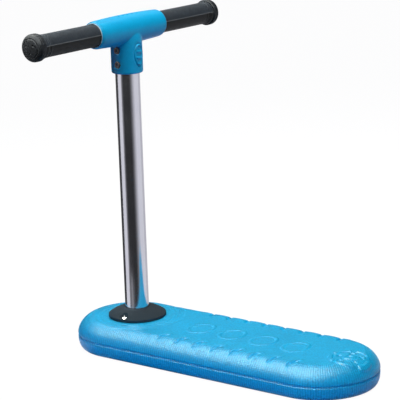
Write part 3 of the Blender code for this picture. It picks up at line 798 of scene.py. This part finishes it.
def cross_cutter(name, top):
    """A tapered cross, for the recess of a cross-head screw."""
    bm = bmesh.new()
    for turn in (0, math.pi / 2):
        made = bmesh.ops.create_cube(bm, size=1)["verts"]
        for vertex in made:
            taper = 1 if vertex.co.z > 0 else 0.45
            vertex.co.x *= 4.6 * MM * taper
            vertex.co.y *= 1.1 * MM * taper
            vertex.co.z = top + 1 * MM if vertex.co.z > 0 else top - 1.9 * MM
        bmesh.ops.rotate(bm, verts=made, matrix=Matrix.Rotation(turn, 3, "Z"))
    mesh = bpy.data.meshes.new(name)
    bm.to_mesh(mesh)
    bm.free()
    return linked(name, mesh)


def make_collar_screws(material):
    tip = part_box("collar_screw_left")[0].z - SCREW_SEAT
    head = superellipse(0, SCREW_HEAD_RADIUS, 0, SCREW_HEAD_HEIGHT, 2.4, 12)
    profile = np.vstack([[(0, tip), (SCREW_RADIUS, tip), (SCREW_RADIUS, 0)], head])
    for label, turn in (("left", 0.5), ("right", 1.1)):
        screw = lathe(f"pan_screw_{label}", profile, SMALL_ROUND)
        cut(screw, cross_cutter("recess", SCREW_HEAD_HEIGHT), crossing=True)
        centre = middle(f"collar_screw_{label}")
        set_down(screw, (centre.x, centre.y, SCREW_SEAT), turn, "Z")
        finish_piece(shade(screw), "deck", f"collar_screw_{label}", material)


# --- pole ---


def make_pole(material):
    inner = POLE_RADIUS - POLE_WALL
    ends = ((inner, POLE_BOTTOM), (POLE_RADIUS, POLE_BOTTOM), (POLE_RADIUS, POLE_TOP), (inner, POLE_TOP))
    corners = [(*end, 0.4 * MM) for end in ends]
    pole = lathe("pole_polished", guarded(rounded(corners, 3)), ROUND)
    set_down(pole, (AXIS.x, 0, 0))
    holes = []
    for index, height in enumerate(CLAMP_BOLT_HEIGHTS):
        hole = rod(f"cross_hole_{index}", CROSS_HOLE, -2 * POLE_RADIUS, 2 * POLE_RADIUS)
        holes.append(set_down(hole, (AXIS.x, 0, height), math.pi / 2))
    cut(pole, *holes)
    finish_piece(shade(pole), "handle", "pole_tube", material)


# --- clamp ---

CLAMP_VOXEL = 0.8 * MM
FILLET = 1.6 * MM
EDGE_SOFTNESS = 0.7 * MM
MARK_HEIGHT = 433.5 * MM
MARK_TALL = 15 * MM
MARK_WIDE = 8.5 * MM
MARK_RELIEF = 1.5 * MM
DASH_REACH = 2  # dashes each side of the middle one
DASH_PITCH = 10 * MM
DASH_LONG = 3.2 * MM
DASH_WIDE = 1.8 * MM
DASH_SIDE = 4 * MM  # towards the tail from the barrel's top line
DASH_DEPTH = 1.2 * MM


def smooth_min(first, second, reach):
    share = np.clip(0.5 + 0.5 * (second - first) / reach, 0, 1)
    return second * (1 - share) + first * share - reach * share * (1 - share)


def smooth_max(first, second, reach):
    return -smooth_min(-first, -second, reach)


def stem_field(x, y, z):
    """Signed distance to the stem, which ends in a crown inside the barrel."""
    rise = np.clip((z - STEM_SHOULDER) / STEM_CROWN, 0, 0.999)
    outline = STEM_RADIUS * (1 - rise**2) ** STEM_CROWN_EXPONENT
    side = np.hypot(x, y) - outline
    below = smooth_max(side, CLAMP_LOW.z - z, 2 * STEM_ROUND)
    return np.maximum(below, z - STEM_SHOULDER - STEM_CROWN)


def barrel_field(x, y, z):
    """Signed distance to the barrel, which swells in the middle."""
    swell = np.clip(1 - (y / (BARREL_HALF - BARREL_ROUND)) ** 2, 0, 1)
    outline = BARREL_END_RADIUS + (BARREL_MID_RADIUS - BARREL_END_RADIUS) * swell
    side = np.hypot(x, z - HANDLE_HEIGHT) - outline
    return smooth_max(side, np.abs(y) - BARREL_HALF, 2 * BARREL_ROUND)


def mark_relief(x, y, z):
    """A plain raised oval with two bars on the stem's tail side."""
    across = STEM_RADIUS * np.arctan2(y, x) * MARK_TALL / MARK_WIDE
    up = z - MARK_HEIGHT
    distance = np.hypot(across, up)
    ring = band(distance, MARK_TALL - 2.4 * MM, MARK_TALL, 0.6 * MM)
    inside = 1 - smooth_step(distance, MARK_TALL - 6 * MM, MARK_TALL - 4.5 * MM)
    bars = inside * smooth_step(-np.cos(math.tau * up / (9 * MM)), 0.1, 0.7)
    moat = band(distance, MARK_TALL, MARK_TALL + 2.4 * MM, 0.6 * MM)
    return MARK_RELIEF * (np.maximum(ring, bars) - 0.6 * moat) * (x > 0)


def dash_relief(x, y, z):
    """A row of plain pressed dashes along the top of the barrel."""
    nearest = np.clip(np.round(y / DASH_PITCH), -DASH_REACH, DASH_REACH)
    distance = np.hypot((y - nearest * DASH_PITCH) * DASH_WIDE / DASH_LONG, x - DASH_SIDE)
    return DASH_DEPTH * (1 - smooth_step(distance, 0.4 * DASH_WIDE, DASH_WIDE)) * (z > HANDLE_HEIGHT)


def bore_field(x, y, z):
    """Signed distance to the clamp's bores, grip sockets, bolt holes and wells."""
    bar = np.hypot(x, z - HANDLE_HEIGHT)
    cuts = [
        bar - (BAR_RADIUS + GAP),
        np.maximum(bar - (GRIP_RADIUS + GAP), GRIP_SOCKET_START - np.abs(y)),
        np.maximum(np.hypot(x, y) - (POLE_RADIUS + GAP), z - POLE_TOP - GAP),
    ]
    for height in CLAMP_BOLT_HEIGHTS:
        cross = np.hypot(x, z - height)
        cuts.append(cross - CROSS_HOLE)
        cuts.append(np.maximum(cross - CLAMP_WELL_RADIUS, CLAMP_WELL_FLOOR - np.abs(y)))
    return np.minimum.reduce(cuts)


def clamp_field(points):
    x, y, z = points[:, 0] - AXIS.x, points[:, 1], points[:, 2]
    outside = smooth_min(stem_field(x, y, z), barrel_field(x, y, z), FILLET)
    outside = outside - mark_relief(x, y, z) + dash_relief(x, y, z)
    return smooth_max(outside, -bore_field(x, y, z), EDGE_SOFTNESS)


def settle_on(field, points, rounds=6, step=0.02 * MM, most=0.6 * MM):
    """Moves points along a field's slope onto its surface."""
    for _ in range(rounds):
        value = field(points)
        slope = np.empty_like(points)
        for axis in range(3):
            shift = step * np.eye(3)[axis]
            slope[:, axis] = (field(points + shift) - field(points - shift)) / (2 * step)
        steepness = np.maximum((slope**2).sum(1), 0.25)
        move = -(value / steepness)[:, None] * slope
        length = np.linalg.norm(move, axis=1, keepdims=True)
        points = points + move * np.minimum(1, most / np.maximum(length, 1e-12))
    return points


def make_clamp(material):
    """The CAD clamp remeshed finely, then settled on a surface with fillets and soft edges."""
    clamp = linked("clamp_moulding", NODES["handle_clamp"].data.copy())
    remesh = clamp.modifiers.new("remesh", "REMESH")
    remesh.mode = "VOXEL"
    remesh.voxel_size = CLAMP_VOXEL * 1
    bake_modifiers(clamp)
    write_points(clamp.data, settle_on(clamp_field, read_points(clamp.data).astype(float)))
    clamp.data.shade_smooth()
    finish_piece(clamp, "handle", "handle_clamp", material)


def make_clamp_fasteners(material):
    """Bolts from the left and sleeve nuts from the right, each with a hex socket."""
    seat = CLAMP_WELL_FLOOR + GAP
    top = CLAMP_HEAD_HEIGHT
    head = [(BOLT_HEAD_RADIUS, top, 0.6 * MM), (BOLT_HEAD_RADIUS, 0, 0)]
    bolt_shank = [(BOLT_RADIUS, 0, 0), (BOLT_RADIUS, -2 * seat, 0), (0, -2 * seat, 0)]
    start = SLEEVE_START - seat
    sleeve_shank = [(SLEEVE_RADIUS, 0, 0), (SLEEVE_RADIUS, start, 0), (SLEEVE_BORE, start, 0)]
    sleeve_shank += [(SLEEVE_BORE, GAP, 0), (0, GAP, 0)]
    kinds = (("clamp_bolt", bolt_shank, -1, 0.8 * MM), ("clamp_sleeve_nut", sleeve_shank, 1, 1.3 * MM))
    for kind, shank, side, socket_floor in kinds:
        for label, height in zip(("upper", "lower"), CLAMP_BOLT_HEIGHTS):
            profile = rounded([(0, top, 0), *head, *shank])
            fastener = lathe(f"{kind}_{label}_detailed", profile, SMALL_ROUND)
            cut(fastener, rod("hex", HEX_RADIUS, socket_floor, 2 * top, 6))
            set_down(fastener, (AXIS.x, side * seat, height), -side * math.pi / 2)
            finish_piece(shade(fastener), "handle", f"{kind}_{label}", material)


# --- grips ---

KNURL_PITCH = 2.9 * MM
KNURL_DEPTH = 0.45 * MM
PANEL_TOP = math.radians(5)  # where the smooth panel starts, up from the tail side's level
PANEL_BOTTOM = math.radians(-78)
STRIP_ANGLE = 0.07  # how wide the pale line above the panel is, in radians
PANEL_BLUR = 0.06
PANEL_DEPTH = 0.35 * MM
NECK_RINGS = (2 * MM, 5.2 * MM)  # grooves, as distances from where the knurl ends
NECK_RING_DEPTH = 0.5 * MM
PLUG_RIM = 6.5 * MM
PLUG_GROOVE_DEPTH = 0.45 * MM
FACE_RING = (12.4 * MM, 13.6 * MM)
FACE_RING_DEPTH = 0.6 * MM
DOT_COUNT = 3
DOT_TURN = 0.6
DOT_CIRCLE = 7 * MM
DOT_RADIUS = 1.7 * MM
DOT_DEPTH = 0.7 * MM


def grip_relief(angle, height):
    """Diamond knurl, a smooth recessed panel low on the tail side, and rings at the neck."""
    neck = GRIP_HIGH.y - GRIP_NECK_LENGTH - 9 * MM
    zone = window(height, GRIP_LOW.y + 4 * MM, GRIP_LOW.y + 6 * MM, neck - 2 * MM, neck)
    turns = round(math.tau * GRIP_RADIUS / KNURL_PITCH)
    along, around = height / KNURL_PITCH * math.tau, angle * turns
    first, second = np.sin((along + around) / 2), np.sin((along - around) / 2)
    knurl = np.minimum(np.abs(first), np.abs(second)) ** 0.7
    level = (angle + math.pi) % math.tau - math.pi
    panel = window(level, PANEL_BOTTOM, PANEL_BOTTOM + PANEL_BLUR, PANEL_TOP - PANEL_BLUR, PANEL_TOP)
    ridge = bell(level - PANEL_TOP - 0.03, 0.045)
    rough = KNURL_DEPTH * (knurl - 1)
    surface = rough * (1 - panel) * (1 - ridge) - PANEL_DEPTH * panel
    rings = sum(bell(height - neck - ring, 0.7 * MM) for ring in NECK_RINGS)
    return zone * surface - NECK_RING_DEPTH * rings


def make_grips(material):
    """Turned about Z, then laid along the bar, with the angle 0 towards the tail."""
    inner = BAR_RADIUS + GAP
    neck = GRIP_HIGH.y - GRIP_NECK_LENGTH
    wall = resample([(GRIP_RADIUS, GRIP_LOW.y + 0.8 * MM), (GRIP_RADIUS, neck - 6 * MM)], 0.55 * MM)
    share = np.linspace(0, 1, 14)[1:]
    flare_radius = GRIP_RADIUS + (GRIP_NECK_RADIUS - GRIP_RADIUS) * smooth_step(share, 0, 1)
    flare = np.column_stack([flare_radius, neck - 6 * MM + 6 * MM * share])
    end = [(GRIP_NECK_RADIUS, GRIP_HIGH.y - 0.8 * MM), (GRIP_NECK_RADIUS - 0.8 * MM, GRIP_HIGH.y)]
    outside = np.vstack([[(GRIP_RADIUS - 0.8 * MM, GRIP_LOW.y)], wall, flare, end])
    back = resample([(inner, GRIP_HIGH.y), (inner, GRIP_LOW.y)], (GRIP_HIGH.y - GRIP_LOW.y) / 3)
    profile = np.vstack([outside, back])
    share_outside = len(outside) / len(profile)

    def relief(angle, height, along):
        return grip_relief(angle, height) * (along < share_outside)

    for label, side in SIDES:
        grip = lathe(f"grip_{label}_knurled", profile, 288, relief)
        place(grip, bar_matrix(side))
        finish_piece(grip, "handle", f"grip_{label}", material)


def bar_matrix(side):
    """Lays a piece along the bar: its +Z points outwards, +X stays and +Y points up."""
    columns = ((1, 0, 0), (0, 0, 1), (0, side, 0))
    turn = Matrix(columns).transposed().to_4x4()
    return Matrix.Translation((AXIS.x, 0, HANDLE_HEIGHT)) @ turn


def plug_relief(angle, height, along):
    """A shallow ring groove where the dome starts."""
    start = PLUG_RIM + GRIP_HIGH.y + GAP
    return -PLUG_GROOVE_DEPTH * bell(height - start + 0.4 * MM, 0.55 * MM) * (along < 0.75)


def make_bar_end_plugs(material):
    """Domed plugs with a ring groove and three pressed dots in the face."""
    base = GRIP_HIGH.y + GAP
    face = superellipse(0, PLUG_RADIUS, base + PLUG_RIM, PLUG_HIGH.y, PLUG_POWER)
    face = resample(face[::-1], 0.5 * MM)
    face[:, 1] -= FACE_RING_DEPTH * band(face[:, 0], *FACE_RING, 0.5 * MM)
    chamfer = 1.2 * MM
    wall = resample([(PLUG_RADIUS, base + PLUG_RIM), (PLUG_RADIUS, base + chamfer)], 0.4 * MM)[1:]
    back = [(PLUG_RADIUS - chamfer, base), (PLUG_SHANK_RADIUS, base)]
    shank = [(PLUG_SHANK_RADIUS, PLUG_LOW.y), (0, PLUG_LOW.y)]
    profile = np.vstack([face, wall, back, shank])
    for label, side in SIDES:
        plug = lathe(f"bar_plug_{label}_domed", profile, 96, plug_relief)
        press_dots(plug)
        place(plug, bar_matrix(side))
        finish_piece(shade(plug), "handle", f"bar_end_plug_{label}", material)


def press_dots(plug):
    """Presses a few round dots into the plug's face."""
    points = read_points(plug.data)
    on_face = points[:, 2] > GRIP_HIGH.y + PLUG_RIM
    for index in range(DOT_COUNT):
        angle = math.tau * index / DOT_COUNT + DOT_TURN
        x, y = DOT_CIRCLE * math.cos(angle), DOT_CIRCLE * math.sin(angle)
        away = np.hypot(points[:, 0] - x, points[:, 1] - y)
        points[:, 2] -= DOT_DEPTH * on_face * (1 - smooth_step(away, 0.5 * DOT_RADIUS, DOT_RADIUS))
    write_points(plug.data, points)


# --- parts kept from the CAD ---


def paint(nodes, material):
    for name in nodes:
        for slot in NODES[name].material_slots:
            slot.material = material


def paint_hidden_parts():
    black = moulded_material("hub_nylon", (0.020, 0.021, 0.024), (0.034, 0.035, 0.04), 1800)
    acetal = moulded_material("bush_acetal", (0.74, 0.74, 0.69), (0.84, 0.83, 0.79), 900)
    zinc = steel_material("zinc_steel", (0.52, 0.53, 0.55), 0.32)
    bar = steel_material("bar_aluminium", (0.66, 0.67, 0.69), 0.30)
    paint(["hub_housing", "pole_end_plug"], black)
    paint(["lower_bushing", "upper_bushing"], acetal)
    hub_bolts = [f"hub_bolt_{index}" for index in range(1, 5)]
    paint(["hub_backing_ring", "thrust_washer", "axle_bolt", *hub_bolts], zinc)
    paint(["crossbar_tube"], bar)
    paint(["deck_core_board"], plywood_material())


# --- stage ---

CAMERA_AZIMUTH = math.radians(37.36)
CAMERA_ELEVATION = math.radians(13.49)
CAMERA_ROLL = math.radians(1.88)
CAMERA_DISTANCE = 2.574
CAMERA_TARGET = Vector((-0.06512, 0.04137, 0.22131))
CAMERA_LENS = 161.26
DECK_MIDDLE = (0.05, 0, 0.04)
WARM_WHITE = (1, 0.98, 0.86)
FLOOR_REACH = 30
FLOOR_HEIGHT = -0.2 * MM
BOUNCE_HEIGHT = -1 * MM
RIM_NEAR = DECK_HALF_WIDTH + 2 * MM
BOUNCE_NEAR = 0.130
BOUNCE_FAR = 0.42
CARD_TINT = (0.95, 0.95, 1)
CARD_STEPS = 12
CARD_HEIGHT = 0.5 * MM
CARD_STAGGER = 0.01 * MM
CARD_NEAR = 0.02
CARD_SPLIT = 0.40
# Cards round the pole: from and to in degrees as the views count them, brightness, and sometimes how far
# out they start and end
CARDS = (
    (281, 332, 0.98),
    (332, 342, 0.30),
    (342, 348, 0.12),
    (348, 368, 0.34, CARD_NEAR, CARD_SPLIT),
    (368, 384, 0.14, CARD_NEAR, CARD_SPLIT),
    (384, 414, 0.05, CARD_NEAR, CARD_SPLIT),
    (348, 414, 0.038, CARD_SPLIT),
    (414, 424, 0.10),
    (424, 434, 0.25),
    (434, 444, 0.48),
    (444, 456, 0.72),
    (456, 510, 0.95),
    (510, 574, 0.72),
    (214, 292, 0.06),
)


def make_camera():
    data = bpy.data.cameras.new("camera")
    data.lens = CAMERA_LENS
    data.sensor_width = 36
    data.clip_start = 0.05
    data.clip_end = 60
    camera = linked("camera", data)
    flat = math.cos(CAMERA_ELEVATION)
    x, y = math.sin(CAMERA_AZIMUTH) * flat, -math.cos(CAMERA_AZIMUTH) * flat
    back = Vector((x, y, math.sin(CAMERA_ELEVATION)))
    right = Vector((0, 0, 1)).cross(back).normalized()
    up = back.cross(right)
    axes = Matrix((right, up, back)).transposed().to_4x4()
    spot = Matrix.Translation(CAMERA_TARGET + back * CAMERA_DISTANCE)
    camera.matrix_world = spot @ axes @ Matrix.Rotation(-CAMERA_ROLL, 4, "Z")
    bpy.context.scene.camera = camera


def stage_material(name, base, glow_colour=(0, 0, 0), glow=0):
    """A plain surface for the stage, with some light of its own."""
    shader = Shader(name, base, 1)
    shader.set("Specular IOR Level", 0)
    shader.set("Emission Color", (*glow_colour, 1))
    shader.set("Emission Strength", glow)
    return shader.material


def stage_surface(name, points, faces, material, seen_by):
    """A surface of the stage that one kind of ray meets. It never casts a shadow."""
    thing = build(name, points, faces)
    thing.data.materials.append(material)
    for ray in ("camera", "diffuse", "glossy", "transmission", "shadow"):
        setattr(thing, f"visible_{ray}", ray == seen_by)


def make_floor():
    """A pale floor that only the camera sees."""
    reach, height = FLOOR_REACH, FLOOR_HEIGHT
    corners = [(x * reach, y * reach, height) for x, y in ((-1, -1), (1, -1), (1, 1), (-1, 1))]
    pale = stage_material("floor_white", (0.05, 0.05, 0.053), (0.97, 0.97, 0.975), 1.005)
    stage_surface("floor", np.array(corners), np.array([[0, 1, 2, 3]]), pale, "camera")


def make_bounce(name, near, far, material):
    """A ring on the floor round the deck that sends light back up."""
    x, y, _, _ = stadium(np.array((near, far)))
    points = np.stack([x, y, 0 * x + BOUNCE_HEIGHT], -1)
    stage_surface(name, points, ring_faces(2, x.shape[1], False), material, "diffuse")


def make_card(index, start, end, brightness, near=CARD_NEAR, far=FLOOR_REACH):
    """A flat sector round the pole that shows only in reflections."""
    angles = np.radians(np.linspace(start, end, CARD_STEPS))
    height = 0 * angles + CARD_HEIGHT + index * CARD_STAGGER
    rows = [np.stack([AXIS.x + r * np.sin(angles), -r * np.cos(angles), height], -1) for r in (near, far)]
    count = len(angles)
    faces = np.array([(i, i + 1, count + i + 1, count + i) for i in range(count - 1)])
    glow = stage_material(f"card_{index}", (0, 0, 0), CARD_TINT, brightness)
    stage_surface(f"card_{index}", np.array(rows), faces, glow, "glossy")


def make_softbox(name, place_at, aim, size, power, colour):
    data = bpy.data.lights.new(name, "AREA")
    data.shape = "RECTANGLE"
    data.size, data.size_y = size
    data.energy = power
    data.color = colour
    lamp = linked(name, data)
    direction = Vector(aim) - Vector(place_at)
    lamp.matrix_world = Matrix.Translation(place_at) @ direction.to_track_quat("-Z", "Y").to_matrix().to_4x4()
    return lamp


def make_world():
    world = bpy.data.worlds.new("studio")
    world.use_nodes = True
    background = world.node_tree.nodes["Background"]
    background.inputs["Color"].default_value = (0.5, 0.7, 1, 1)
    background.inputs["Strength"].default_value = 0.03
    bpy.context.scene.world = world


def make_lamps():
    """gloss shows only in reflections, and kicker fills the deck's near side."""
    key = make_softbox("key", (0.35, -0.1, 1.4), DECK_MIDDLE, (1.2, 1.2), 17.5, WARM_WHITE)
    back = make_softbox("back", (-0.7, 0.8, 1.2), DECK_MIDDLE, (1, 1), 16, WARM_WHITE)
    gloss = make_softbox("gloss", (-0.20, -0.57, 1.23), DECK_MIDDLE, (2.05, 1.35), 128, (0.98, 0.99, 0.88))
    low_aim = (0.05, 0, 0.035)
    kicker = make_softbox("kicker", (0.05, -0.5, 0.17), low_aim, (1.3, 0.08), 0.44, (0.2, 0.80, 0.97))
    for lamp in (key, back, kicker):
        lamp.visible_glossy = False
    gloss.visible_diffuse = False
    kicker.data.spread = math.radians(75)
    kicker.visible_camera = False


def make_stage():
    make_camera()
    make_floor()
    make_bounce("floor_bounce", BOUNCE_NEAR, BOUNCE_FAR, stage_material("bounce_dull", (0.24, 0.40, 0.6)))
    make_bounce("floor_rim", RIM_NEAR, BOUNCE_NEAR, stage_material("rim_dull", (0.10, 0.30, 0.60)))
    for index, card in enumerate(CARDS):
        make_card(index, *card)
    make_lamps()
    make_world()
    bpy.context.scene.view_settings.view_transform = "Standard"


# --- build ---


def main():
    make_stage()
    foam = foam_material()
    make_upper_foam(foam)
    make_lower_foam(foam)
    make_collar(collar_material())
    make_collar_screws(steel_material("bright_zinc", (0.80, 0.81, 0.83), 0.22))
    make_pole(aluminium_material())
    make_clamp(clamp_material())
    make_clamp_fasteners(steel_material("black_steel", (0.06, 0.06, 0.07), 0.26))
    make_grips(rubber_material("grip_rubber", (0.028, 0.036, 0.052), (0.052, 0.066, 0.090), True))
    make_bar_end_plugs(rubber_material("plug_rubber", (0.013, 0.016, 0.023), (0.028, 0.034, 0.046), False))
    paint_hidden_parts()


main()
